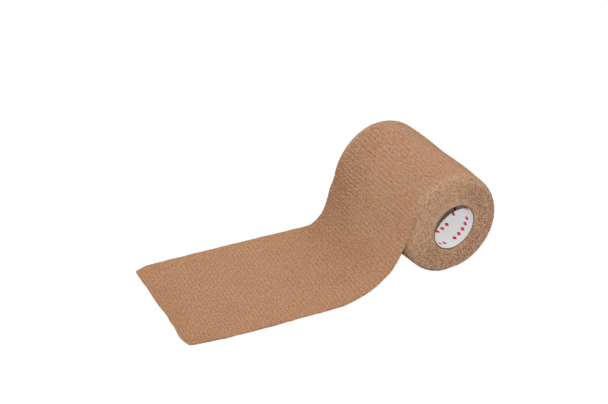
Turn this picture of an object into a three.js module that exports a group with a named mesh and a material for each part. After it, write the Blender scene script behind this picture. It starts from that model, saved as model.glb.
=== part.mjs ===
// A cohesive bandage wound on a paper core, lying on its side with its loose end run out.
// Millimetres, +Z up. The origin is on the surface, under the middle of the roll's axis.
// The axis lies along Y and the loose end runs out towards -X.
// Angles go round the axis from -X, 0 degrees, over the top, 90 degrees.
import * as THREE from 'three';

// The cloth
const CLOTH_THICKNESS = 1.0;
const FACE_GAP = 0.35;

// The wound roll
const ROLL_WIDTH = 75;
const OUTER_RADIUS = 29.6;
const SHOULDER_RADIUS = 5.5;
const AXIS_HEIGHT = 28.4;
const STEP_ANGLE = THREE.MathUtils.degToRad(24);
const STEP_LEAN = THREE.MathUtils.degToRad(0.6);
const TURN_THICKNESS = CLOTH_THICKNESS + FACE_GAP;
const FRONT_SWELL = 0.5;

// The winding isn't quite round: each lobe adds a wave of its height, highest at its peak.
const LOBES = [
  { count: 2, height: 0.35, peak: THREE.MathUtils.degToRad(47) },
  { count: 3, height: 0.17, peak: THREE.MathUtils.degToRad(-35) },
];

// The paper core
const CORE_INNER_RADIUS = 13.0;
const CORE_WALL = 0.9;
const CORE_RECESS = 0.4;
const CORE_CHAMFER = 0.2;
const CORE_OUTER_RADIUS = CORE_INNER_RADIUS + CORE_WALL;
const WINDING_BORE_RADIUS = CORE_OUTER_RADIUS + FACE_GAP;

// Where the underside of the loose end's two edges lies, in sections along the cloth.
// near is the edge towards -Y and far is the other. It leaves the roll at the first row,
// drops more steeply at its far edge, reaches the surface, and is cut off at the last row.
const LOOSE_END_SECTIONS = [
  { near: [-24.7, -36.0, 38.7], far: [-24.7, 35.8, 38.7] },
  { near: [-27.5, -36.0, 33.1], far: [-25.7, 36.4, 33.4] },
  { near: [-29.7, -35.9, 28.4], far: [-27.0, 37.1, 27.9] },
  { near: [-32.6, -35.7, 23.1], far: [-28.4, 37.9, 22.7] },
  { near: [-36.1, -35.4, 17.1], far: [-29.3, 38.7, 15.9] },
  { near: [-39.8, -35.2, 12.0], far: [-30.8, 39.3, 9.8] },
  { near: [-44.9, -35.1, 8.4], far: [-33.5, 39.8, 4.2] },
  { near: [-50.2, -35.0, 5.1], far: [-38.8, 40.1, 0.6] },
  { near: [-56.3, -34.8, 2.6], far: [-45.3, 40.6, 0] },
  { near: [-62.8, -34.5, 1.1], far: [-51.8, 41.4, 0] },
  { near: [-70.0, -34.2, 0], far: [-58.9, 42.2, 0] },
  { near: [-92.7, -31.8, 0], far: [-80.8, 45.3, 0] },
  { near: [-115.3, -29.5, 0], far: [-102.6, 48.1, 0] },
  { near: [-138.0, -26.1, 0], far: [-124.4, 51.1, 0] },
  { near: [-154.6, -22.5, 0], far: [-141.4, 53.1, 0] },
  { near: [-159.6, -21.4, 0], far: [-146.6, 53.6, 0] },
];
const NEAR_CORNER_RADIUS = 5;
const FAR_CORNER_RADIUS = 1.8;
const CONTACT_SOFTNESS = 0.6;

// How finely the curved faces are divided
const ROLL_STEPS = 96;
const SHOULDER_STEPS = 5;
const CORE_STEPS = 64;
const STEPS_PER_SECTION = 3;
const STEPS_ACROSS = 16;

// How far to each side a slope of the cloth is taken, as a share of its length or width
const SLOPE_REACH = 0.001;

const CLOTH_FINISH = { color: 0xb38d6b, roughness: 0.95, metalness: 0 };
const PAPER_FINISH = { color: 0xdcddda, roughness: 0.8, metalness: 0 };

// The outer surface's distance from the axis at an angle, on the turn that the step ends.
// It loses one turn's thickness from the step right round to the step again.
function windingRadius(angle) {
  const turned = (angle - STEP_ANGLE) / (2 * Math.PI);
  const lobes = LOBES.reduce(
    (sum, lobe) => sum + lobe.height * Math.cos(lobe.count * (angle - lobe.peak)), 0);
  return OUTER_RADIUS - TURN_THICKNESS * turned + lobes;
}

// How far a sheet that lies a gap off the rounded shoulder falls at a place on the axis
function fallOverShoulder(along, gap) {
  const past = Math.max(0, Math.abs(along) - (ROLL_WIDTH / 2 - SHOULDER_RADIUS));
  const bend = SHOULDER_RADIUS + gap;
  return bend - Math.sqrt(bend ** 2 - Math.min(past, bend) ** 2);
}

// The roll is a little fatter at its -Y end
function swell(along) {
  return -FRONT_SWELL * along / ROLL_WIDTH;
}

// A point at a distance from the axis, pressed flat where it would pass below the surface
function aroundAxis(radius, angle, along) {
  const height = AXIS_HEIGHT + radius * Math.sin(angle);
  return new THREE.Vector3(-radius * Math.cos(angle), along, Math.max(0, height));
}

// Joins rings of points, all of one length, into a closed body. An open row of rings is
// capped by joining each end ring's first half to its second half.
function joinRings(rings, closed) {
  const size = rings[0].length;
  const index = [];
  const quad = (a, b, c, d) => index.push(a, b, c, a, c, d);
  const ringPairs = closed ? rings.length : rings.length - 1;
  for (let i = 0; i < ringPairs; i++) {
    const here = i * size;
    const next = ((i + 1) % rings.length) * size;
    for (let j = 0; j < size; j++) {
      const k = (j + 1) % size;
      quad(here + j, here + k, next + k, next + j);
    }
  }
  if (!closed) {
    const last = (rings.length - 1) * size;
    for (let j = 0; j < size / 2 - 1; j++) {
      const opposite = size - 1 - j;
      quad(j, opposite, opposite - 1, j + 1);
      quad(last + j, last + j + 1, last + opposite - 1, last + opposite);
    }
  }
  const geometry = new THREE.BufferGeometry();
  const positions = rings.flat().flatMap((point) => point.toArray());
  geometry.setAttribute('position', new THREE.Float32BufferAttribute(positions, 3));
  geometry.setIndex(index);
  geometry.computeVertexNormals();
  return geometry;
}

// One section of the winding: its bore, its two flat ends and its rounded shoulders
function windingRing(angle) {
  const outer = windingRadius(angle);
  const half = ROLL_WIDTH / 2;
  const shoulder = (side) => Array.from({ length: SHOULDER_STEPS + 1 }, (_, i) => {
    const lean = (Math.PI / 2) * (i / SHOULDER_STEPS);
    const along = side * (half - SHOULDER_RADIUS * (1 - Math.sin(lean)));
    return [outer - SHOULDER_RADIUS * (1 - Math.cos(lean)) + swell(along), along];
  });
  const section = [
    [WINDING_BORE_RADIUS, -half],
    [WINDING_BORE_RADIUS, half],
    ...shoulder(1).reverse(),
    ...shoulder(-1),
  ];
  return section.map(([radius, along]) => aroundAxis(radius, angle, along));
}

function woundRoll() {
  const sweep = 2 * Math.PI - STEP_LEAN;
  const rings = Array.from({ length: ROLL_STEPS + 1 }, (_, i) =>
    windingRing(STEP_ANGLE + sweep * i / ROLL_STEPS));
  return joinRings(rings, true);
}

// A tube with its four lips chamfered, turned round Y
function coreTube() {
  const half = ROLL_WIDTH / 2 - CORE_RECESS;
  const inner = CORE_INNER_RADIUS;
  const outer = CORE_OUTER_RADIUS;
  const section = [
    [outer - CORE_CHAMFER, -half], [outer, -half + CORE_CHAMFER],
    [outer, half - CORE_CHAMFER], [outer - CORE_CHAMFER, half],
    [inner + CORE_CHAMFER, half], [inner, half - CORE_CHAMFER],
    [inner, -half + CORE_CHAMFER], [inner + CORE_CHAMFER, -half],
    [outer - CORE_CHAMFER, -half],
  ];
  return new THREE.LatheGeometry(section.map(([x, y]) => new THREE.Vector2(x, y)), CORE_STEPS);
}

// The cloth's underside: a straight line between its edges, held off the roll where the
// line would pass through it, and never below the surface
function looseUnderside(edges, t, across) {
  const point = edges.near.getPoint(t).lerp(edges.far.getPoint(t), across);
  const up = point.z - AXIS_HEIGHT;
  const radius = Math.hypot(point.x, up);
  const angle = Math.atan2(up, -point.x);
  const apart = radius - windingRadius(angle + 2 * Math.PI) - swell(point.y)
    - FACE_GAP + fallOverShoulder(point.y, FACE_GAP);
  const held = radius + (Math.hypot(apart, CONTACT_SOFTNESS) - apart) / 2;
  return aroundAxis(held, angle, point.y);
}

// How far a rounded corner draws an edge in, at a distance from the free end
function cornerInset(radius, left) {
  return left < radius ? radius - Math.sqrt(left * (2 * radius - left)) : 0;
}

// One section of the loose end: its top from the near edge to the far edge, and back under
function looseRing(edges, t) {
  const end = edges.near.getPoint(1);
  const width = end.distanceTo(edges.far.getPoint(1));
  const left = edges.near.getPoint(t).distanceTo(end);
  const nearInset = cornerInset(NEAR_CORNER_RADIUS, left) / width;
  const farInset = cornerInset(FAR_CORNER_RADIUS, left) / width;
  const before = Math.max(0, t - SLOPE_REACH);
  const after = Math.min(1, t + SLOPE_REACH);
  const top = [];
  const bottom = [];
  for (let j = 0; j <= STEPS_ACROSS; j++) {
    const spread = (1 - Math.cos(Math.PI * j / STEPS_ACROSS)) / 2;
    const across = nearInset + spread * (1 - nearInset - farInset);
    const lengthwise = looseUnderside(edges, after, across)
      .sub(looseUnderside(edges, before, across));
    const crosswise = looseUnderside(edges, t, Math.min(1, across + SLOPE_REACH))
      .sub(looseUnderside(edges, t, Math.max(0, across - SLOPE_REACH)));
    const outward = crosswise.cross(lengthwise).normalize();
    const under = looseUnderside(edges, t, across);
    bottom.push(under);
    top.push(under.clone().addScaledVector(outward, CLOTH_THICKNESS));
  }
  return [...top, ...bottom.reverse()];
}

function looseEnd() {
  const edge = (side) => new THREE.CatmullRomCurve3(
    LOOSE_END_SECTIONS.map((section) => new THREE.Vector3(...section[side])));
  const edges = { near: edge('near'), far: edge('far') };
  const steps = (LOOSE_END_SECTIONS.length - 1) * STEPS_PER_SECTION;
  const rings = Array.from({ length: steps + 1 }, (_, i) => looseRing(edges, i / steps));
  return joinRings(rings, false);
}

function namedMesh(name, geometry, finish) {
  const mesh = new THREE.Mesh(geometry, new THREE.MeshStandardMaterial(finish));
  mesh.name = name;
  return mesh;
}

const bandage = new THREE.Group();
bandage.add(namedMesh('wound_roll', woundRoll(), CLOTH_FINISH));
bandage.add(namedMesh('loose_end', looseEnd(), CLOTH_FINISH));

const core = namedMesh('core_tube', coreTube(), PAPER_FINISH);
core.position.z = AXIS_HEIGHT;
bandage.add(core);

export default bandage;
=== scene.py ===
"""The looks of a cohesive bandage roll that lies on its side with its loose end run out.

Shapes are worked out in millimetres and put into the meshes in metres. The roll's axis lies
along Y and the loose end runs out towards -X. Angles go round the axis from -X, 0 degrees,
over the top, 90 degrees. The cloth is one strip: s is the distance along it in millimetres,
0 where it leaves the roll, above 0 on the loose end and below 0 on the roll. across goes
over its width, 0 at the edge towards -Y and 1 at the other, and v is the same place in
millimetres from its middle.
"""

import bmesh
import bpy
import numpy as np
from mathutils import Matrix, Vector


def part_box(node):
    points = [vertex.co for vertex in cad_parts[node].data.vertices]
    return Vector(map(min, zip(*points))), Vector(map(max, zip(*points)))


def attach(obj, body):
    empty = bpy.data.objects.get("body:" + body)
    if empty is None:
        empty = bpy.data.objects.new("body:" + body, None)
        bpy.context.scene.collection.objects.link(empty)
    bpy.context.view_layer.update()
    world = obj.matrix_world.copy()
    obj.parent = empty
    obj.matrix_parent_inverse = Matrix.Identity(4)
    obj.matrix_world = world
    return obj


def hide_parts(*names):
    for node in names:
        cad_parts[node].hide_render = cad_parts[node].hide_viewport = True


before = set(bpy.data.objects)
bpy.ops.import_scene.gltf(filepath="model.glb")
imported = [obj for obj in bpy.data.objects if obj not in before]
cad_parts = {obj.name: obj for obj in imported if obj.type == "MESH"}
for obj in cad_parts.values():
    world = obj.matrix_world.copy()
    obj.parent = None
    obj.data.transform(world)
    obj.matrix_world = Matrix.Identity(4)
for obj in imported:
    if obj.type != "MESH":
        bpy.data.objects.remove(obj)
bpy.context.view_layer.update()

MM = 0.001
TURN = 2 * np.pi

# The roll's sizes, from the frame
CORE_LOW, CORE_HIGH = (np.array(corner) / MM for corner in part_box("core_tube"))
ROLL_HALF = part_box("wound_roll")[1][1] / MM
AXIS_HEIGHT = (CORE_LOW[2] + CORE_HIGH[2]) / 2
CORE_RADIUS = (CORE_HIGH[0] - CORE_LOW[0]) / 2
CORE_HALF = CORE_HIGH[1]

# The wound cloth: its radii as in the part's source, and its lobes, its swell towards -Y, its
# bulging middle and its waves along its width a little more uneven than there
OUTER_RADIUS = 29.6
SHOULDER_RADIUS = 5.5
MOST_PAST_SHOULDER = 4.9
SWELL = 0.25
BARREL = 0.15
WAVE_HEIGHT = 0.4
WAVE_LENGTH = 35.0
WAVE_CREST = -15.0
LOBES = [
    {"count": 1, "height": 0.15, "peak": np.radians(121)},
    {"count": 2, "height": 0.58, "peak": np.radians(50)},
    {"count": 3, "height": 0.21, "peak": np.radians(-42)},
]

# Where the surface presses the winding: past this downward slope of the radius, and how
# softly. Elsewhere it has ample room.
PRESSED_SLOPE = 0.5
SQUEEZE_SOFTNESS = 0.015
AMPLE_ROOM = 99.0

# The cloth as it shows: its thickness, how far apart its turns lie, how far their edges are
# drawn in at the shoulder and over what depth that fades, and its crepe
CLOTH = 0.82
TURN_PITCH = 0.95
EDGE_DRAW = 0.87
SHOULDER_FADE = 9.0
CREPE_HEIGHT = 0.14
UNDER_CREPE_HEIGHT = 0.12
OFF_SURFACE = 0.02

# The paper tube as it shows: its wall, the rounding of its lips, its marks, and the depths
# between which its lining turns warmer and paler, painted light bounced into the shadow in the
# bore
BOARD = 0.75
LIP = 0.2
BORE_RADIUS = CORE_RADIUS - 1.1
TUBE_RADIUS = BORE_RADIUS + BOARD
MARK_WIDTH = 2.3
MARK_HEIGHT = 3.8
MARK_PITCH = 3.3
MARKS_IN_GROUP = 5
GROUPS_ROUND = 4
ROW_PITCH = 11.0
PAINTED_BOUNCE_DEPTHS = (19, 23)

# Where the underside of the loose end's edges lies: as in the part's source, with its far
# edge drawn a little further out and its end a little longer
LOOSE_END = np.array(
    [
        # near x, y, z, far x, y, z
        (-24.7, -36.0, 38.7, -24.7, 35.8, 38.7),
        (-27.5, -36.0, 33.1, -25.7, 36.4, 33.4),
        (-29.7, -35.9, 28.4, -27.3, 37.1, 27.9),
        (-32.6, -35.7, 23.1, -28.8, 37.9, 22.7),
        (-36.1, -35.4, 17.1, -29.7, 38.7, 15.9),
        (-39.8, -35.2, 12.0, -31.2, 39.4, 9.8),
        (-44.9, -35.1, 8.4, -33.9, 40.0, 4.2),
        (-50.2, -34.9, 5.1, -39.1, 40.3, 0.6),
        (-56.3, -34.6, 2.6, -45.3, 40.9, 0.0),
        (-62.8, -34.3, 1.1, -51.8, 41.9, 0.0),
        (-70.0, -34.0, 0.0, -58.9, 42.9, 0.0),
        (-92.7, -31.5, 0.0, -80.8, 46.1, 0.0),
        (-115.3, -29.0, 0.0, -102.6, 49.1, 0.0),
        (-138.0, -25.7, 0.0, -124.4, 52.0, 0.0),
        (-154.4, -22.3, 0.0, -141.0, 54.0, 0.0),
        (-159.9, -21.1, 0.0, -146.7, 54.6, 0.0),
    ]
)
NEAR_ROWS, FAR_ROWS = LOOSE_END[:, :3], LOOSE_END[:, 3:]
CONTACT_SOFTNESS = 0.6
LIFT_ANGLE = np.arctan2(NEAR_ROWS[0, 2] - AXIS_HEIGHT, -NEAR_ROWS[0, 0])
LAST_TURN_RADIUS = OUTER_RADIUS - 0.3
LAST_TURN_START = -TURN * LAST_TURN_RADIUS

# The cut end: how much shorter the cloth is at places across it, and how far its edges are
# drawn in at distances left to the end
CUT_END = {
    "v": [-37.5, -33.5, -31, -27, -20, -14.5, -6.5, -1.5, 4.5, 18, 26, 35],
    "short": [2.3, 1.05, 0.05, 0.1, 1.05, 0.8, 1.4, 0.8, 0.7, 1.2, 0.9, 1.15],
}
CUT_REACH = 15.0
NARROWING = {
    "left": [0, 1, 2, 3.5, 5, 6.5, 8, 10],
    "near": [0.95, 0.45, 0.15, 0, 0, 0, 0, 0],
    "far": [2.75, 2.1, 1.6, 1.35, 0.8, 0.4, 0.1, 0],
}

# How finely the cloth and the core are divided
STRIP_STEP = 0.43
STRIP_COLUMNS = 100
UNDER_STRIDE = 5
UNDER_COLUMNS = slice(None, None, UNDER_STRIDE)
WOUND_STEP = 0.48
FACE_COLUMNS = np.array([-34.5, -31.5, 31.5, 34.5])
EDGE_POINTS = 7
LENGTH_TABLE_POINTS = 900
CORE_STEPS = 160
CORE_ROWS = 16
LIP_POINTS = 4
SHARP_ANGLE = np.radians(60)

# Stretches of the strip, in s, over which one thing gives way to another
ON_ROLL_TO_LOOSE = (-5, 25)
CRUMPLES_FADE = (-12, 3)
EDGES_LIFT = (-40, 0)
LIFTS_OFF = (0, 6)
UNDER_CREPE_COMES = (5, 25)
EDGE_WAVES_COME = (10, 35)
NEAR_CUT_END = (120, 150)

# Layers of noise: each one's height, and its lengths along and across, in millimetres
PUCKERS = [(1, 1.0, 3.6), (0.6, 0.8, 5)]
GREY_PATCHES = [(1, 6, 8), (0.6, 2.5, 4)]
EDGE_WAVES = [(0.25, 7, 1), (0.125, 2.2, 1)]
TURN_EDGE_WAVES = [(0.3, 4.2, 1), (0.25, 1.5, 1)]
CUT_WAVES = [(0.12, 1.5, 1)]
FRAYS = [(0.12, 1.1, 1)]
CRUMPLES = [(0.1, 2.2, 2.2), (0.75, 0.8, 0.8)]
RIB_LUMPS = [(0.7, 0.75, 1)]
TURN_WOBBLE = [(0.2, 1.7, 30), (0.12, 5, 30)]

# The first seed of each noise. The last turn and the turns below it share those of the ends.
SEEDS = {
    "long_ribs": 1,
    "puckers": 4,
    "cut_end": 6,
    "frays": 7,
    "wobble": 15,
    "near_turn_edge": 21,
    "far_turn_edge": 23,
    "near_end": 31,
    "far_end": 41,
    "broken_ribs": 51,
    "grey_patches": 61,
    "near_edge": 71,
    "far_edge": 73,
}

# The crepe's ribs: their pitch at places along the strip, and of the long ribs on the roll and
# the broken ones on the loose end the height, the length across the cloth over which they
# wander and fade, and by how many ribs they wander. The lengths across in RIB_WANDER are
# shares of that length.
RIB_PITCH = {"s": [-60, -20, 10, 45, 95, 150], "pitch": [2.65, 2.45, 2.6, 2.55, 2.4, 2.15]}
RIB_LEAN = np.tan(np.radians(1.5))
LONG_RIBS = {"height": 0.39, "length": 14.0, "wander": 0.36, "seed": SEEDS["long_ribs"]}
BROKEN_RIBS = {"height": 0.4, "length": 8.0, "wander": 0.24, "seed": SEEDS["broken_ribs"]}
RIB_WANDER = [(1, 10, 1), (0.3, 4.5, 1 / 1.5)]
RIB_FADE = {"mean": 0.75, "swing": 0.55, "along": 9, "least": 0.2, "most": 1.3}
RIB_CREST = 0.45
PUCKER_HEIGHT = {"anywhere": 0.3, "more_on_roll": 0.15}

# Two spots on the strip: where its far part leaves the roll, and where most of it comes down.
# Each has its place and reach along the strip and the span across it over which it comes,
# the depth of the shade painted there, which stands for the shade in the hollow where the
# cloth curves between the roll and the floor, and crepe, how much stronger its relief is.
SPOTS = [
    {"s": 10, "reach": 28, "rise": (0, 34), "open": 0.9, "crepe": 0.35},
    {"s": 40, "reach": 20, "rise": (-32, -10), "open": 0.46, "crepe": -0.4},
]
# Painted shade that deepens towards the loose end's cut end
END_SHADE = 0.3

# How much stronger the crepe is on the roll's far side, and where that comes and goes
FAR_CREPE = {"more": 0.3, "rise": (-10, 30), "fall": (0, 40)}

# Painted light on the roll: how much paler the cloth is painted near its near edge, less so
# at the far one, and over its top
PAINTED_LIGHT_NEAR = {"more": 0.17, "fall": (5, 45), "less_far": 0.7, "across": (-33, 33)}
PAINTED_LIGHT_TOP = {"more": 0.16, "s": -17, "reach": 14}

# How grey the cloth is: by the depth of the painted shade, on the loose end, and the more on the
# roll
GREYNESS = {"open": 0.4, "loose": 0.15, "more_on_roll": 0.3, "fall": (0, 60)}

# How speckled the cloth is at places along the strip, and how much that grows towards +Y
SPECKLED = {"s": [20, 75, 105, 140], "share": [0.24, 0.12, 0.1, 0]}
SPECKLED_FAR = 0.8

# The roll's ends: how far the turns' edges stand out and how round they are, how their tone
# follows that, with painted light on their crests and lumps and painted shade in the grooves
# between turns, and how thin the innermost turn starts
LUMP_HEIGHT = 0.42
EDGE_ROUNDING = 0.32
EDGE_LIGHT_AND_SHADE = {"crest": 0.65, "groove": 0.44, "lumps": 0.83}
INNERMOST_GAP = 0.1
THINNEST = 0.06

# Where the ends are rough: round the roughest angle, within a span of the cosine from it, and
# less towards the core, up to a radius
LEAST_ROUGH = 0.3
ROUGHEST_ANGLE = np.radians(222)
ROUGH_COSINES = (-0.85, -0.2)
ROUGH_AT_CORE = 0.4
ROUGH_RADIUS = 20.0

# Painted light on the roll's ends: where the turns near the core are painted paler
PAINTED_CORE_LIGHT_ANGLE = np.radians(110)
PAINTED_CORE_LIGHT_COSINES = (-0.5, 0.9)
PAINTED_CORE_LIGHT_RADII = (16, 21)
PAINTED_CORE_LIGHT = 0.45

# Where the crumples of the roll's ends begin on the last turn, how strong they are there, and
# how much of the crepe gives way to them
CRUMPLES_START = (31, 36)
LAST_TURN_CRUMPLES = 1.6
CREPE_LOST = 0.6

# The strip's edges: how much thinner they are, over what distance, what more of both on the
# roll, and how far their middle stands out
EDGE_THINNING = {"share": 0.38, "more_wound": 0.3, "reach": 0.7, "further_wound": 0.6}
FRAY = 0.16

# The camera and the lights of the photograph's view. The sky is brighter low down behind the
# roll, in the direction that the key light shines.
CAMERA_PLACE = Vector((-0.8411, -1.0965, 0.9090))
CAMERA_VIEW = Vector((0.4827, 0.6891, -0.5406)).normalized()
CAMERA_ROLL = np.radians(1.84)
CAMERA_LENS = 177.6
CAMERA_CLIP = (0.05, 50)
KEY_AZIMUTH = np.radians(-38.3)
KEY_ELEVATION = np.radians(38.0)
KEY_ENERGY = 2.34
KEY_SPREAD = np.radians(1.6)
SKY_LOW = (0.15, 0.153, 0.178, 1)
SKY_TOP = (0.395, 0.39, 0.388, 1)
SKY_BEHIND = (1.7, 1.7, 1.7, 1)
BEHIND = (0.61, 0.79, 0)
FLOOR_SIDE = 12.0
FLOOR_GREY = (0.12, 0.12, 0.12, 1)
FLOOR_GLOW = 0.93
BLACK = (0, 0, 0, 1)
WHITE = (1, 1, 1, 1)


# Shapes

def smooth_noise(x, y, seed):
    """Random slopes on a unit lattice, joined by smooth curves, scaled to about -1 to 1."""
    size = 256
    turns = np.random.default_rng(seed).uniform(0, TURN, (size, size))
    left, low = np.floor(x), np.floor(y)
    fx, fy = x - left, y - low

    def corner(dx, dy):
        turn = turns[(left + dx).astype(int) % size, (low + dy).astype(int) % size]
        return np.cos(turn) * (fx - dx) + np.sin(turn) * (fy - dy)

    u, v = (f * f * f * (f * (f * 6 - 15) + 10) for f in (fx, fy))
    bottom = corner(0, 0) * (1 - u) + corner(1, 0) * u
    top = corner(0, 1) * (1 - u) + corner(1, 1) * u
    return 1.5 * (bottom * (1 - v) + top * v)


def layered_noise(x, y, layers, seed):
    """A sum of noises, each of its height and its lengths along x and y, from seed upwards."""
    return sum(
        height * smooth_noise(x / along, y / across, seed + i)
        for i, (height, along, across) in enumerate(layers)
    )


def smooth_step(value, start, end):
    """0 before start, 1 after end, and a smooth rise between."""
    t = np.clip((value - start) / (end - start), 0, 1)
    return t * t * (3 - 2 * t)


def bell(value, place, reach):
    """1 at a place, and a smooth fall to 0 on both sides over about twice a reach."""
    return np.exp(-((value - place) / reach) ** 2)


def lobes(angle):
    """How far the winding stands out from round at an angle."""
    return sum(l["height"] * np.cos(l["count"] * (angle - l["peak"])) for l in LOBES)


def barrel(along):
    """How far the winding stands out in its middle, in two waves and towards its -Y end."""
    share = along / ROLL_HALF
    waves = WAVE_HEIGHT * (1 + np.cos(TURN * (along - WAVE_CREST) / WAVE_LENGTH)) / 2
    return BARREL * (1 - share**2) + waves - SWELL * share / 2


def shoulder_fall(along):
    """A quarter circle's drop over the roll's rounded shoulder at a place on its axis."""
    past = np.clip(np.abs(along) - (ROLL_HALF - SHOULDER_RADIUS), 0, MOST_PAST_SHOULDER)
    return SHOULDER_RADIUS - np.sqrt(SHOULDER_RADIUS**2 - past**2)


def curl(turned):
    """How much of the shoulder a turn follows, 1 on the last and less on those below."""
    return np.clip(1 - TURN_PITCH * turned / TURN / SHOULDER_FADE, 0, 1)


def wound_top(turned, along):
    """The distance from the axis of the strip's outer face, after winding back by an angle.

    It loses one pitch a turn. The lobes, the bulging middle and the shoulder fade towards
    the core, and all turns are squeezed alike where the last one presses on the surface.
    """
    angle = LIFT_ANGLE + turned
    plain = OUTER_RADIUS - TURN_PITCH * turned / TURN
    depth = (plain - CORE_RADIUS) / (OUTER_RADIUS - CORE_RADIUS)
    uneven = lobes(angle) + barrel(along)
    radius = plain + depth * uneven - curl(turned) * shoulder_fall(along)
    outermost = OUTER_RADIUS + uneven - TURN_PITCH * (turned % TURN) / TURN
    down = -np.sin(angle)
    pressed = AXIS_HEIGHT / np.maximum(down, PRESSED_SLOPE)
    room = np.where(down > PRESSED_SLOPE, pressed, AMPLE_ROOM)
    share = (room - CORE_RADIUS) / (outermost - CORE_RADIUS)
    squeeze = (1 + share - np.hypot(1 - share, SQUEEZE_SOFTNESS)) / 2
    return CORE_RADIUS + (radius - CORE_RADIUS) * squeeze


def around_axis(radius, angle, along):
    """A point at a distance from the axis, an angle round it and a place along it."""
    up = AXIS_HEIGHT + radius * np.sin(angle)
    return np.stack([-radius * np.cos(angle), along + 0 * angle, up], axis=-1)


def edge_curve(rows, t):
    """Points on a smooth curve through rows, with t from 0 to 1.

    Between two rows it is a cubic whose end slopes are the usual ones of a centripetal
    Catmull-Rom curve, where a chord counts by the square root of its length.
    """
    chords = np.diff(rows, axis=0)
    reach = np.linalg.norm(chords, axis=1, keepdims=True) ** 0.5
    slopes = chords / reach
    inner = slopes[:-1] + slopes[1:] - (rows[2:] - rows[:-2]) / (reach[:-1] + reach[1:])
    tangents = np.concatenate([slopes[:1], inner, slopes[-1:]])
    place = np.clip(t, 0, 1) * (len(rows) - 1)
    i = np.minimum(place.astype(int), len(rows) - 2)
    w = (place - i)[..., None]
    return (
        (2 * w**3 - 3 * w**2 + 1) * rows[i]
        + (w**3 - 2 * w**2 + w) * reach[i] * tangents[i]
        + (3 * w**2 - 2 * w**3) * rows[i + 1]
        + (w**3 - w**2) * reach[i] * tangents[i + 1]
    )


def under_loose_end(t, across):
    """The loose end's underside: a straight line between its edges, held off the roll."""
    near, far = edge_curve(NEAR_ROWS, t), edge_curve(FAR_ROWS, t)
    line = near + (far - near) * across[..., None]
    x, along, up = line[..., 0], line[..., 1], line[..., 2] - AXIS_HEIGHT
    radius, angle = np.hypot(x, up), np.arctan2(up, -x)
    apart = radius - wound_top(angle - LIFT_ANGLE + TURN, along) - (TURN_PITCH - CLOTH)
    held = radius + (np.hypot(apart, CONTACT_SOFTNESS) - apart) / 2
    point = around_axis(held, angle, along)
    point[..., 2] = np.maximum(point[..., 2], 0)
    return point


def under_wound(s, across, near_y, far_y):
    """The strip's underside while it is still on the roll."""
    turned = -s / LAST_TURN_RADIUS
    along = near_y + (far_y - near_y) * across
    return around_axis(wound_top(turned, along) - CLOTH, LIFT_ANGLE + turned, along)


def lengths_along(points):
    """The distance from the first point to each, along a row of points."""
    steps = np.linalg.norm(np.diff(points, axis=0), axis=1)
    return np.concatenate([[0], np.cumsum(steps)])


def rib_phase(s):
    """The number of ribs before each s, counted from before the strip: the sum of 1 / pitch."""
    reach, step = 200, 0.5
    fine = np.arange(-reach, reach, step)
    count = np.cumsum(step / np.interp(fine, RIB_PITCH["s"], RIB_PITCH["pitch"]))
    return np.interp(s, fine, count)


def ribs(s, v, kind):
    """Crosswise ribs of a kind, a wave along the strip with narrow crests.

    Its phase wanders and its height comes and goes, over places as wide as the kind's length
    across the cloth.
    """
    place, seed = v / kind["length"], kind["seed"]
    phase = rib_phase(s + v * RIB_LEAN)
    phase = TURN * (phase + kind["wander"] * layered_noise(s, place, RIB_WANDER, seed))
    fade = RIB_FADE["swing"] * smooth_noise(s / RIB_FADE["along"], place, seed + 2)
    height = np.clip(RIB_FADE["mean"] + fade, RIB_FADE["least"], RIB_FADE["most"])
    return kind["height"] * height * (np.cos(phase) + RIB_CREST * np.cos(2 * phase))


def at_spots(s, v, column):
    """The sum over the spots of a column of theirs, each fading out round its place."""
    return sum(
        spot[column] * bell(s, spot["s"], spot["reach"]) * smooth_step(v, *spot["rise"])
        for spot in SPOTS
    )


def pulled_open(s, v):
    """Painted shade on the cloth: where it leaves the roll, where it lands, and towards its end.
    """
    return at_spots(s, v, "open") + END_SHADE * smooth_step(s, *NEAR_CUT_END)


def paler(s, v):
    """Painted light: how much paler the cloth is painted on the roll, towards its near edge and
    over its top.
    """
    near = PAINTED_LIGHT_NEAR["more"] * (1 - smooth_step(s, *PAINTED_LIGHT_NEAR["fall"]))
    near *= 1 - PAINTED_LIGHT_NEAR["less_far"] * smooth_step(v, *PAINTED_LIGHT_NEAR["across"])
    return near + PAINTED_LIGHT_TOP["more"] * bell(s, PAINTED_LIGHT_TOP["s"], PAINTED_LIGHT_TOP["reach"])


def crepe(s, v):
    """The cloth's relief, about -1 to 1, at s along it and v across it.

    Its ribs are long on the roll and broken on the loose end, with small puckers between. It
    is stronger on the roll's far side, and weaker or stronger at the spots.
    """
    on_roll = 1 - smooth_step(s, *ON_ROLL_TO_LOOSE)
    relief = np.sqrt(on_roll) * ribs(s, v, LONG_RIBS)
    relief += np.sqrt(1 - on_roll) * ribs(s, v, BROKEN_RIBS)
    puckers = layered_noise(s, v, PUCKERS, SEEDS["puckers"])
    relief += (PUCKER_HEIGHT["anywhere"] + PUCKER_HEIGHT["more_on_roll"] * on_roll) * puckers
    far = smooth_step(v, *FAR_CREPE["rise"]) * (1 - smooth_step(s, *FAR_CREPE["fall"]))
    return relief * (1 + FAR_CREPE["more"] * far + at_spots(s, v, "crepe"))


def greyness(s, v):
    """How grey the cloth looks, 0 to 1: in patches, more on the roll and where shade is painted.
    """
    patchy = GREYNESS["loose"] + GREYNESS["more_on_roll"] * (1 - smooth_step(s, *GREYNESS["fall"]))
    patches = layered_noise(s, v, GREY_PATCHES, SEEDS["grey_patches"])
    return GREYNESS["open"] * pulled_open(s, v) + patchy * (1 + patches)


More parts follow.
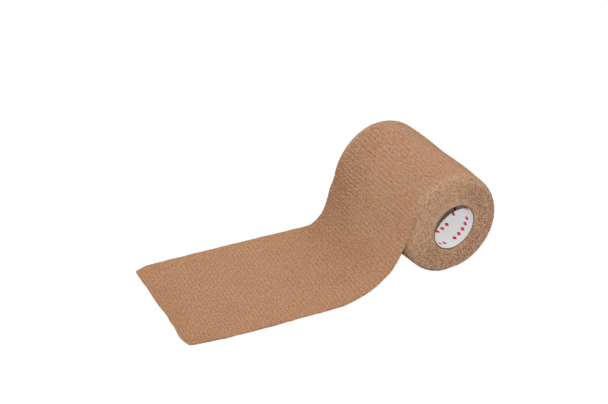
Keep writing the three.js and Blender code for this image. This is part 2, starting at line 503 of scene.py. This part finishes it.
def roughness(radius, angle):
    """How rough the roll's ends are, up to 1: most over half the way round, less inwards."""
    side = smooth_step(np.cos(angle - ROUGHEST_ANGLE), *ROUGH_COSINES)
    outwards = smooth_step(radius, TUBE_RADIUS, ROUGH_RADIUS)
    share = ROUGH_AT_CORE + (1 - ROUGH_AT_CORE) * outwards
    return LEAST_ROUGH + (1 - LEAST_ROUGH) * side * share


def painted_light_at_core(radius, angle):
    """Painted light: how much paler the turns near the core are painted, over the upper side of
    the roll's end.
    """
    upper = smooth_step(np.cos(angle - PAINTED_CORE_LIGHT_ANGLE), *PAINTED_CORE_LIGHT_COSINES)
    return PAINTED_CORE_LIGHT * upper * (1 - smooth_step(radius, *PAINTED_CORE_LIGHT_RADII))


def strip_cap():
    """The faces of the strip's end, each from a few points of its top to two of its underside.

    A ring's points are its top from near to far, one more, its underside back, and one more.
    """
    spans = STRIP_COLUMNS // UNDER_STRIDE
    under = [STRIP_COLUMNS + 2 + spans - k for k in range(spans + 1)]
    faces = [
        [*range(UNDER_STRIDE * k, UNDER_STRIDE * (k + 1) + 1), under[k + 1], under[k]]
        for k in range(spans)
    ]
    return [*faces, [STRIP_COLUMNS, STRIP_COLUMNS + 1, under[-1]], [under[0], under[0] + 1, 0]]


def faces_between(count, size):
    """Four-sided faces between each ring of points and the next."""
    ring = np.arange(count - 1)[:, None] * size
    here = np.arange(size)[None, :]
    after = (here + 1) % size
    quads = np.stack([ring + here, ring + after, ring + size + after, ring + size + here], -1)
    return quads.reshape(-1, 4).tolist()


def capped_faces(count, size, cap):
    """The faces between rings, and a cap's faces at both ends, turned over at the first."""
    last = (count - 1) * size
    caps = [face[::-1] for face in cap] + [[last + i for i in face] for face in cap]
    return faces_between(count, size) + caps


def mesh_piece(name, points, faces, material, uv, values):
    """An object of points in millimetres, turned outwards, with its UV map and values.

    The sum over its faces of a (b x c), six times the volume inside, is below 0 where they
    point inwards.
    """
    points = points.reshape(-1, 3) * MM
    corners = np.array([face[:3] for face in faces])
    a, b, c = (points[corners[:, i]] for i in range(3))
    mesh = bpy.data.meshes.new(name)
    if (a * np.cross(b, c)).sum() < 0:
        faces = [face[::-1] for face in faces]
    mesh.from_pydata(points.tolist(), [], faces)
    index = np.zeros(len(mesh.loops), int)
    mesh.loops.foreach_get("vertex_index", index)
    layer = mesh.uv_layers.new(name="surface")
    layer.data.foreach_set("uv", (uv.reshape(-1, 2) * MM)[index].ravel())
    for label, value in values.items():
        mesh.attributes.new(label, "FLOAT", "POINT").data.foreach_set("value", value.ravel())
    mesh.polygons.foreach_set("use_smooth", [True] * len(mesh.polygons))
    mesh.set_sharp_from_angle(angle=SHARP_ANGLE)
    mesh.materials.append(material)
    piece = bpy.data.objects.new(name, mesh)
    bpy.context.scene.collection.objects.link(piece)
    return piece


def drawn_in(side, s, end):
    """How far an edge is drawn in: at the cut end, and a little here and there before it."""
    waves = layered_noise(s, 0 * s, EDGE_WAVES, SEEDS[side + "_edge"])
    narrowing = np.interp(end - s, NARROWING["left"], NARROWING[side])
    return narrowing + waves * smooth_step(s, *EDGE_WAVES_COME)


def places_across(s_ring, end):
    """Where the points of each ring lie across the cloth, evenly between its edges."""
    width = np.linalg.norm(FAR_ROWS[-1] - NEAR_ROWS[-1])
    near, far = (drawn_in(side, s_ring, end)[:, None] / width for side in ("near", "far"))
    return near + np.linspace(0, 1, STRIP_COLUMNS + 1) * (1 - near - far)


def last_turn_edge(s_ring, side, rows):
    """The Y of one edge of the last turn: drawn in and wavy, then straight as it lifts off."""
    curled = ROLL_HALF - EDGE_DRAW * curl(np.maximum(-s_ring, 0) / LAST_TURN_RADIUS) ** 2
    waves = layered_noise(s_ring, 0 * s_ring, TURN_EDGE_WAVES, SEEDS[side + "_turn_edge"])
    wavy = waves + np.copysign(curled, rows[0, 1])
    lifted = smooth_step(s_ring, *EDGES_LIFT)
    return (wavy * (1 - lifted) + lifted * rows[0, 1])[:, None]


def strip_surface():
    """The underside of the last turn and the loose end as one grid, with s and v on it.

    Rings lie evenly along the strip. On the roll they follow the winding, past the lift
    they follow the loose end, and the two are blended over the first few millimetres.
    """
    t_table = np.linspace(0, 1, LENGTH_TABLE_POINTS)
    s_table = lengths_along(under_loose_end(t_table, np.full(LENGTH_TABLE_POINTS, 0.5)))
    end = s_table[-1]
    s_ring = np.linspace(LAST_TURN_START, end, int((end - LAST_TURN_START) / STRIP_STEP))
    across = places_across(s_ring, end)
    v = (across - 0.5) * 2 * ROLL_HALF
    short = np.interp(v, CUT_END["v"], CUT_END["short"])
    short += layered_noise(v, 0 * v, CUT_WAVES, SEEDS["cut_end"])
    s = s_ring[:, None] - short * smooth_step(s_ring, end - CUT_REACH, end)[:, None]
    loose = under_loose_end(np.interp(s, s_table, t_table), across)
    near_y = last_turn_edge(s_ring, "near", NEAR_ROWS)
    far_y = last_turn_edge(s_ring, "far", FAR_ROWS)
    wound = under_wound(s, across, near_y, far_y)
    off = smooth_step(s_ring, *LIFTS_OFF)[:, None, None]
    return wound * (1 - off) + loose * off, s, v


def outward(surface):
    """The unit normal of a grid, from the differences along its rows and columns."""
    normal = np.cross(np.gradient(surface, axis=1), np.gradient(surface, axis=0))
    return normal / np.linalg.norm(normal, axis=-1, keepdims=True)


def strip_rings(under, s, v, wound, relief):
    """Rings round the strip: creped on top, thinner at its edges, and less creped below.

    A point in the middle of each edge stands out by an uneven fray.
    """
    normal = outward(under)
    from_edge = np.minimum(v - v[:, :1], v[:, -1:] - v)
    thinner = EDGE_THINNING["share"] + EDGE_THINNING["more_wound"] * wound
    reach = EDGE_THINNING["reach"] + EDGE_THINNING["further_wound"] * wound
    thickness = CLOTH * (1 - thinner * np.exp(-from_edge / reach))
    top = under + normal * (thickness + CREPE_HEIGHT * relief)[..., None]
    below = UNDER_CREPE_HEIGHT * relief * smooth_step(s, *UNDER_CREPE_COMES)
    bottom = (under + normal * below[..., None])[:, UNDER_COLUMNS][:, ::-1]
    aside = np.gradient(under, axis=1)
    aside /= np.linalg.norm(aside, axis=-1, keepdims=True)
    fray = FRAY + layered_noise(s[:, [0, -1]], v[:, [0, -1]], FRAYS, SEEDS["frays"])
    far_mid = (top[:, -1] + bottom[:, 0]) / 2 + aside[:, -1] * fray[:, 1:]
    near_mid = (top[:, 0] + bottom[:, -1]) / 2 - aside[:, 0] * fray[:, :1]
    rings = np.concatenate([top, far_mid[:, None], bottom, near_mid[:, None]], axis=1)
    rings[..., 2] = np.maximum(rings[..., 2], OFF_SURFACE)
    return rings


def round_strip(values):
    """Values of the top for each point of a ring: top, far edge, underside, near edge."""
    below = values[:, UNDER_COLUMNS][:, ::-1]
    return np.concatenate([values, values[:, -1:], below, values[:, :1]], axis=1)


def make_strip(material):
    """The last turn and the loose end, one strip of creped cloth with rounded edges.

    Over the roll's shoulders the crepe gives way to the crumples of the roll's ends.
    """
    under, s, v = strip_surface()
    wound = 1 - smooth_step(s, *CRUMPLES_FADE)
    end = smooth_step(np.abs(v), *CRUMPLES_START) * wound
    x, up = under[..., 0], under[..., 2]
    near, far = (
        layered_noise(x, up, CRUMPLES, SEEDS[name]) for name in ("near_end", "far_end")
    )
    rough = end * roughness(OUTER_RADIUS, np.arctan2(up - AXIS_HEIGHT, -x))
    crumples = LAST_TURN_CRUMPLES * rough * np.where(v < 0, near, far)
    relief = crepe(s, v) * (1 - CREPE_LOST * end) + crumples
    speckled = np.interp(s, SPECKLED["s"], SPECKLED["share"])
    speckled *= 1 + SPECKLED_FAR * v / ROLL_HALF
    rings = strip_rings(under, s, v, wound, relief)
    values = {
        # The relief value also carries painted light on the roll, and painted shade where the
        # cloth leaves the roll, where it lands and near its cut end
        "relief": relief + paler(s, v) - pulled_open(s, v),
        "end": end,
        "grey": greyness(s, v),
        "rough": np.maximum(rough, speckled),
    }
    return mesh_piece(
        "last_turn_and_loose_end", rings,
        capped_faces(len(rings), rings.shape[1], strip_cap()), material,
        uv=np.stack([round_strip(s), round_strip(v)], -1),
        values={label: round_strip(value) for label, value in values.items()},
    )


def wound_spiral():
    """The distance along the wound strip and the angle turned at each of its rings.

    A spiral of radius R that loses a pitch p a turn is R a - p a^2 / (4 pi) long after an
    angle a, which is solved for the angle at even steps of length.
    """
    core_turned = TURN * (OUTER_RADIUS - TUBE_RADIUS - INNERMOST_GAP) / TURN_PITCH
    loss = TURN_PITCH / (2 * TURN)
    first, last = (OUTER_RADIUS * a - loss * a**2 for a in (TURN, core_turned))
    s = np.linspace(first, last, int((last - first) / WOUND_STEP))
    turned = (OUTER_RADIUS - np.sqrt(OUTER_RADIUS**2 - 4 * loss * s)) / (2 * loss)
    return s[:, None], turned[:, None]


def ragged_edge(s, turned, seed):
    """How far a wound turn's edge stands out: lumps where its ribs end, and wider crumples."""
    angle = LIFT_ANGLE + turned
    radius = wound_top(turned, ROLL_HALF)
    x, _, up = np.moveaxis(around_axis(radius, angle, ROLL_HALF), -1, 0)
    lumps = layered_noise(s, 0 * s, RIB_LUMPS, seed + 2)
    return roughness(radius, angle) * (lumps + layered_noise(x, up, CRUMPLES, seed))


def make_wound_turns(material):
    """The turns below the last one, wound to the core, as one strip with rounded edges.

    A ring of points goes round the cloth's section: its outer face, which follows the
    shoulder, its rounded far edge, its inner face and its rounded near edge. The strip
    starts thin, where its outer face leaves the paper tube.
    """
    s, turned = wound_spiral()
    angle = LIFT_ANGLE + turned
    half = ROLL_HALF - EDGE_DRAW * curl(turned) ** 2 - EDGE_ROUNDING
    near_rag, far_rag = (
        ragged_edge(s, turned, SEEDS[name]) for name in ("near_end", "far_end")
    )
    round_edge = np.radians(np.linspace(90, -90, EDGE_POINTS))
    bulge, level = np.cos(round_edge), (1 + np.sin(round_edge)) / 2
    face = FACE_COLUMNS
    flat = np.zeros(len(face))
    along = np.concatenate([
        face + 0 * s, half + LUMP_HEIGHT * far_rag + EDGE_ROUNDING * bulge,
        face[::-1] + 0 * s, -half - LUMP_HEIGHT * near_rag - EDGE_ROUNDING * bulge,
    ], axis=1)
    height = np.concatenate([flat + 1, level, flat, level[::-1]])
    wobble = layered_noise(s, along, TURN_WOBBLE, SEEDS["wobble"])
    radius = wound_top(turned, along) - CLOTH * (1 - height) + wobble
    radius = np.maximum(radius, TUBE_RADIUS + THINNEST * height)
    rings = around_axis(radius, angle, along)
    rings[..., 2] = np.maximum(rings[..., 2], OFF_SURFACE)
    v = np.concatenate([face, ROLL_HALF + level, face[::-1], -ROLL_HALF - level[::-1]])
    # Painted shade in the grooves where a turn's edge meets the next, painted light on its crest,
    # and painted light and shade on the lumps that stand out or sink
    edge = EDGE_LIGHT_AND_SHADE["crest"] * bulge - EDGE_LIGHT_AND_SHADE["groove"]
    far_edge, near_edge = (edge + EDGE_LIGHT_AND_SHADE["lumps"] * rag for rag in (far_rag, near_rag))
    relief = np.concatenate([flat + 0 * s, far_edge, flat + 0 * s, near_edge], axis=1)
    rough = roughness(radius, angle)
    size = rings.shape[1]
    return mesh_piece(
        "wound_turns", rings, capped_faces(len(rings), size, [list(range(size))]), material,
        uv=np.stack([s + 0 * v, v + 0 * s], -1),
        # The turns' relief value also carries painted light near the core
        values={"relief": relief + painted_light_at_core(radius, angle), "end": 0 * rough + 1, "rough": rough},
    )


def make_core(material):
    """The paper tube: a section of straight walls and rounded lips, turned round the axis.

    Its UV map has the way round the bore and the depth from the near mouth, and its value
    board is 1 on the lips and the outside, 0 on the paper lining.
    """
    inner, outer = BORE_RADIUS, TUBE_RADIUS
    quarter = np.radians(np.linspace(0, 90, LIP_POINTS))
    rows = np.linspace(LIP - CORE_HALF, CORE_HALF - LIP, CORE_ROWS)

    def rounded(radius, along, start):
        turn = start + quarter
        return np.stack([radius + LIP * np.cos(turn), along + LIP * np.sin(turn)], -1)

    section = np.concatenate([
        rounded(outer - LIP, CORE_HALF - LIP, 0),
        rounded(inner + LIP, CORE_HALF - LIP, np.pi / 2),
        np.stack([0 * rows + inner, rows[::-1]], -1)[1:-1],
        rounded(inner + LIP, LIP - CORE_HALF, np.pi),
        rounded(outer - LIP, LIP - CORE_HALF, 1.5 * np.pi),
    ])
    reach, along = section.T
    angle = np.linspace(0, TURN, CORE_STEPS + 1)[:, None]
    rings = around_axis(reach + 0 * angle, angle, along)
    past_lining = 0.01
    piece = mesh_piece(
        "core_paper_tube", rings, faces_between(CORE_STEPS + 1, len(section)), material,
        uv=np.stack([inner * angle + 0 * along, along + CORE_HALF + 0 * angle], -1),
        values={"board": (reach > inner + past_lining) + 0 * angle},
    )
    close_seam(piece)
    return piece


def close_seam(piece):
    """Joins the points that lie in one place, which keeps each face's own UV."""
    shape = bmesh.new()
    shape.from_mesh(piece.data)
    bmesh.ops.remove_doubles(shape, verts=shape.verts, dist=1e-6)
    shape.to_mesh(piece.data)
    shape.free()


# Materials

class Value:
    """A socket whose operators add Math nodes, so that shader maths reads as arithmetic."""

    def __init__(self, finish, socket):
        self.finish, self.socket = finish, socket

    def maths(self, operation, *values):
        return self.finish.node("ShaderNodeMath", *values, operation=operation)

    def __add__(self, other):
        return self.maths("ADD", self, other)

    __radd__ = __add__

    def __mul__(self, other):
        return self.maths("MULTIPLY", self, other)

    __rmul__ = __mul__

    def __sub__(self, other):
        return self.maths("SUBTRACT", self, other)

    def __rsub__(self, other):
        return self.maths("SUBTRACT", other, self)

    def __mod__(self, other):
        return self.maths("FLOORED_MODULO", self, other)

    def __lt__(self, other):
        return self.maths("LESS_THAN", self, other)

    def __gt__(self, other):
        return self.maths("GREATER_THAN", self, other)

    def __abs__(self):
        return self.maths("ABSOLUTE", self)


class Nodes:
    """The nodes of a material or of the world, filled in by its methods."""

    def __init__(self, owner, shader):
        owner.use_nodes = True
        self.tree = owner.node_tree
        self.shader = self.tree.nodes[shader]

    def node(self, kind, *values, output=0, **settings):
        """A node of a type: its settings first, then the values or links of its sockets."""
        made = self.tree.nodes.new(kind)
        named = settings.pop("sockets", {})
        for setting, value in settings.items():
            setattr(made, setting, value)
        for key, value in [*enumerate(values), *named.items()]:
            self.fill(made.inputs[key], value)
        return Value(self, made.outputs[output])

    def fill(self, socket, value):
        """Links a socket to a Value, or sets it."""
        if isinstance(value, Value):
            self.tree.links.new(value.socket, socket)
        else:
            socket.default_value = value

    def blend(self, factor, low, high):
        """A colour between two, by a factor from 0 to 1."""
        sockets = {0: factor, 6: low, 7: high}
        return self.node("ShaderNodeMix", data_type="RGBA", output=2, sockets=sockets)


class Finish(Nodes):
    """A material with one Principled shader."""

    def __init__(self, name, roughness):
        self.material = bpy.data.materials.new(name)
        super().__init__(self.material, "Principled BSDF")
        self.set("Roughness", roughness)
        self.set("Specular IOR Level", 0.25)

    def set(self, socket, value):
        """Sets a socket of the shader, or links it to a Value."""
        self.fill(self.shader.inputs[socket], value)

    def value(self, name):
        """One of the piece's own values."""
        return self.node("ShaderNodeAttribute", attribute_name=name, output=2)

    def surface(self):
        """The piece's UV map: on cloth, s and v."""
        return self.node("ShaderNodeUVMap", uv_map="surface")

    def solid(self):
        """The place in the piece's own coordinates."""
        return self.node("ShaderNodeTexCoord", output=3)

    def place(self, source, scale=(1, 1, 1)):
        """A place in mm, from a place in metres, with its axes scaled."""
        sockets = {0: source, 1: tuple(axis / MM for axis in scale)}
        return self.node("ShaderNodeVectorMath", operation="MULTIPLY", sockets=sockets)

    def noise(self, place, size):
        """A noise of about -1 to 1 whose spots are size across, over a place in mm."""
        sockets = {"Vector": place, "Scale": 1 / size, "Detail": 2.0, "Roughness": 0.6}
        return 2 * self.node("ShaderNodeTexNoise", sockets=sockets) - 1

    def bump(self, height, distance):
        sockets = {"Height": height, "Distance": distance}
        self.set("Normal", self.node("ShaderNodeBump", sockets=sockets))


# How far red, green and blue go to each side of a colour, as shares of its spread
GREYING = np.array((0.95, 1, 1.05))


def shades(colour, spread):
    """A darker, fuller and a paler, greyer colour, as far to each side of an sRGB one."""
    reach = spread * GREYING
    sides = np.array([colour - reach, colour + reach]) / 255
    linear = np.where(sides < 0.04045, sides / 12.92, ((sides + 0.055) / 1.055) ** 2.4)
    return [(*side, 1.0) for side in linear.tolist()]


CLOTH_COLOURS = shades((175, 128.7, 93.3), 28.5)
GREY_COLOURS = shades((172, 133, 103), 29)
SMOOTH_END_COLOURS = shades((185.5, 147.5, 116), 30)
ROUGH_END_COLOURS = shades((170, 130.9, 100.3), 38)

# The cloth's grain: the size of its spots in mm, the scale that draws the fibres and threads
# out across the cloth, and how much each part and the relief count in the tone
FIBRE = {"size": 0.5, "scale": (1, 0.3, 1), "tone": 0.5, "bump": 0.00016}
THREADS = {"size": 0.68, "scale": (1, 0.5, 1), "less_speckled": 0.5}
SPECKS = {"size": 0.82, "outside": 2.4}
GRAIN_TONE = {"plain": 0.86, "more_rough": 0.68}
BROAD = {"size": 16, "tone": 0.12}
# The relief's share of the tone: partly the cloth's own tone and partly painted shade in the
# hollows and painted light on what stands out, with the painted light and shade that the relief
# value carries
RELIEF_TONE = 0.27

# The paper tube's colours: its lining at the mouth, its lining further in, painted warmer and
# paler as light bounced into the bore's shadow, its marks and its board
PAPER_COLOURS = ((0.67, 0.675, 0.66, 1), (0.73, 0.74, 0.725, 1))
PAINTED_BOUNCE_PAPER = (0.95, 0.84, 0.76, 1)
MARK_RED = (0.60, 0.035, 0.12, 1)
BOARD_BROWN = (0.24, 0.14, 0.085, 1)
PAPER_FIBRE = {"size": 1.2, "tone": 0.3, "bump": 0.00003}


def cloth_finish():
    """Creped cloth: pale and grey on its ribs and darker between them, partly its own tone and
    partly painted shade in the hollows, with a fibrous speckle.

    On the roll's ends it is greyer, and speckled and darkened where they are rough.
    """
    finish = Finish("bandage_cloth", roughness=0.93)
    finish.set("Diffuse Roughness", 1.0)
    uv, solid = finish.surface(), finish.solid()
    relief, end, rough, grey = (finish.value(name) for name in ("relief", "end", "rough", "grey"))
    fibre = finish.noise(finish.place(uv, FIBRE["scale"]), FIBRE["size"])
    threads = finish.noise(finish.place(uv, THREADS["scale"]), THREADS["size"])
    specks = finish.noise(finish.place(solid), SPECKS["size"])
    speckled = end + (1 - end) * rough * SPECKS["outside"]
    grain = specks * speckled + threads * (1 - THREADS["less_speckled"] * speckled)
    broad = finish.noise(finish.place(uv), BROAD["size"])
    tone = 0.5 + RELIEF_TONE * relief
    tone += (GRAIN_TONE["plain"] + GRAIN_TONE["more_rough"] * rough) * grain
    tone += FIBRE["tone"] * fibre + BROAD["tone"] * broad
    outside = finish.blend(
        grey, finish.blend(tone, *CLOTH_COLOURS), finish.blend(tone, *GREY_COLOURS)
    )
    smooth_end = finish.blend(tone, *SMOOTH_END_COLOURS)
    rough_end = finish.blend(tone, *ROUGH_END_COLOURS)
    how_rough = (rough - LEAST_ROUGH) * (1 / (1 - LEAST_ROUGH))
    ends = finish.blend(how_rough, smooth_end, rough_end)
    finish.set("Base Color", finish.blend(end, outside, ends))
    finish.bump(fibre + grain, FIBRE["bump"])
    return finish.material


def marks(round_bore, depth):
    """1 on the marks in the bore, else 0: lozenges in groups round it, and the groups in rows.

    A lozenge is where the distances from its middle, as shares of its half width and half
    height, add up to less than 1. Every second row is shifted by half a group.
    """
    group = TURN * BORE_RADIUS / GROUPS_ROUND
    second = depth % (2 * ROW_PITCH) > ROW_PITCH
    in_group = (round_bore + second * (group / 2)) % group
    aside = abs(in_group % MARK_PITCH - MARK_PITCH / 2) * (2 / MARK_WIDTH)
    above = abs(depth % ROW_PITCH - ROW_PITCH / 2) * (2 / MARK_HEIGHT)
    return (aside + above < 1) * (in_group < MARKS_IN_GROUP * MARK_PITCH)


def paper_finish():
    """White paper inside, painted warmer and paler further in as bounced light, with rows of small
    plain lozenges, and brown board at the lips.
    """
    finish = Finish("core_paper", roughness=0.7)
    finish.set("Diffuse Roughness", 1.0)
    place = finish.place(finish.surface())
    round_bore, depth = (
        finish.node("ShaderNodeSeparateXYZ", place, output=axis) for axis in (0, 1)
    )
    fibre = finish.noise(finish.place(finish.solid()), PAPER_FIBRE["size"])
    white = finish.blend(0.5 + PAPER_FIBRE["tone"] * fibre, *PAPER_COLOURS)
    # Painted bounce light: further in, the lining turns warmer and paler
    painted_bounce = finish.node("ShaderNodeMapRange", depth, *PAINTED_BOUNCE_DEPTHS)
    lining = finish.blend(painted_bounce, white, PAINTED_BOUNCE_PAPER)
    printed = finish.blend(marks(round_bore, depth), lining, MARK_RED)
    finish.set("Base Color", finish.blend(finish.value("board"), printed, BOARD_BROWN))
    finish.bump(fibre, PAPER_FIBRE["bump"])
    return finish.material


# Stage

def make_floor():
    """A plain floor, white to the camera alone, so that it throws little light on the roll."""
    mesh = bpy.data.meshes.new("floor")
    side = FLOOR_SIDE
    corners = [(-side, -side, 0), (side, -side, 0), (side, side, 0), (-side, side, 0)]
    mesh.from_pydata(corners, [], [(0, 1, 2, 3)])
    finish = Finish("floor_white", roughness=0.9)
    finish.set("Base Color", FLOOR_GREY)
    seen = finish.node("ShaderNodeLightPath")
    finish.set("Emission Color", finish.blend(seen, BLACK, WHITE))
    finish.set("Emission Strength", FLOOR_GLOW)
    mesh.materials.append(finish.material)
    floor = bpy.data.objects.new("floor", mesh)
    bpy.context.scene.collection.objects.link(floor)


def make_key():
    """The key light, a distant lamp from the camera's side at an azimuth and an elevation."""
    light = bpy.data.lights.new("key", "SUN")
    light.energy = KEY_ENERGY
    light.angle = KEY_SPREAD
    lamp = bpy.data.objects.new("key", light)
    towards = Vector((
        np.sin(KEY_AZIMUTH) * np.cos(KEY_ELEVATION),
        -np.cos(KEY_AZIMUTH) * np.cos(KEY_ELEVATION),
        np.sin(KEY_ELEVATION),
    ))
    lamp.rotation_euler = towards.to_track_quat("Z", "Y").to_euler()
    bpy.context.scene.collection.objects.link(lamp)


def make_sky():
    """A world that is white to the camera, and lights the roll from above and from behind."""
    world = bpy.data.worlds.new("pale")
    bpy.context.scene.world = world
    sky = Nodes(world, "Background")
    direction = sky.node("ShaderNodeTexCoord")
    height = sky.node("ShaderNodeSeparateXYZ", direction, output=2)
    behind = sky.node("ShaderNodeVectorMath", direction, BEHIND, operation="DOT_PRODUCT", output=1)
    light = sky.blend(height, sky.blend(behind, SKY_LOW, SKY_BEHIND), SKY_TOP)
    seen = sky.node("ShaderNodeLightPath")
    sky.fill(sky.shader.inputs["Color"], sky.blend(seen, light, WHITE))


def make_camera():
    """The camera of the photograph's view: its place, the way it looks, and its roll."""
    camera = bpy.data.cameras.new("camera")
    camera.lens = CAMERA_LENS
    camera.clip_start, camera.clip_end = CAMERA_CLIP
    holder = bpy.data.objects.new("camera", camera)
    level = CAMERA_VIEW.to_track_quat("-Z", "Y").to_matrix().to_4x4()
    holder.matrix_world = (
        Matrix.Translation(CAMERA_PLACE) @ level @ Matrix.Rotation(CAMERA_ROLL, 4, "Z")
    )
    bpy.context.scene.collection.objects.link(holder)
    bpy.context.scene.camera = holder


make_camera()
make_floor()
make_key()
make_sky()
bpy.context.scene.view_settings.view_transform = "Standard"

cloth = cloth_finish()
strip = make_strip(cloth)
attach(strip, "root")
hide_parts("loose_end", "wound_roll")

turns = make_wound_turns(cloth)
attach(turns, "root")
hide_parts("wound_roll")

core = make_core(paper_finish())
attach(core, "root")
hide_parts("core_tube")
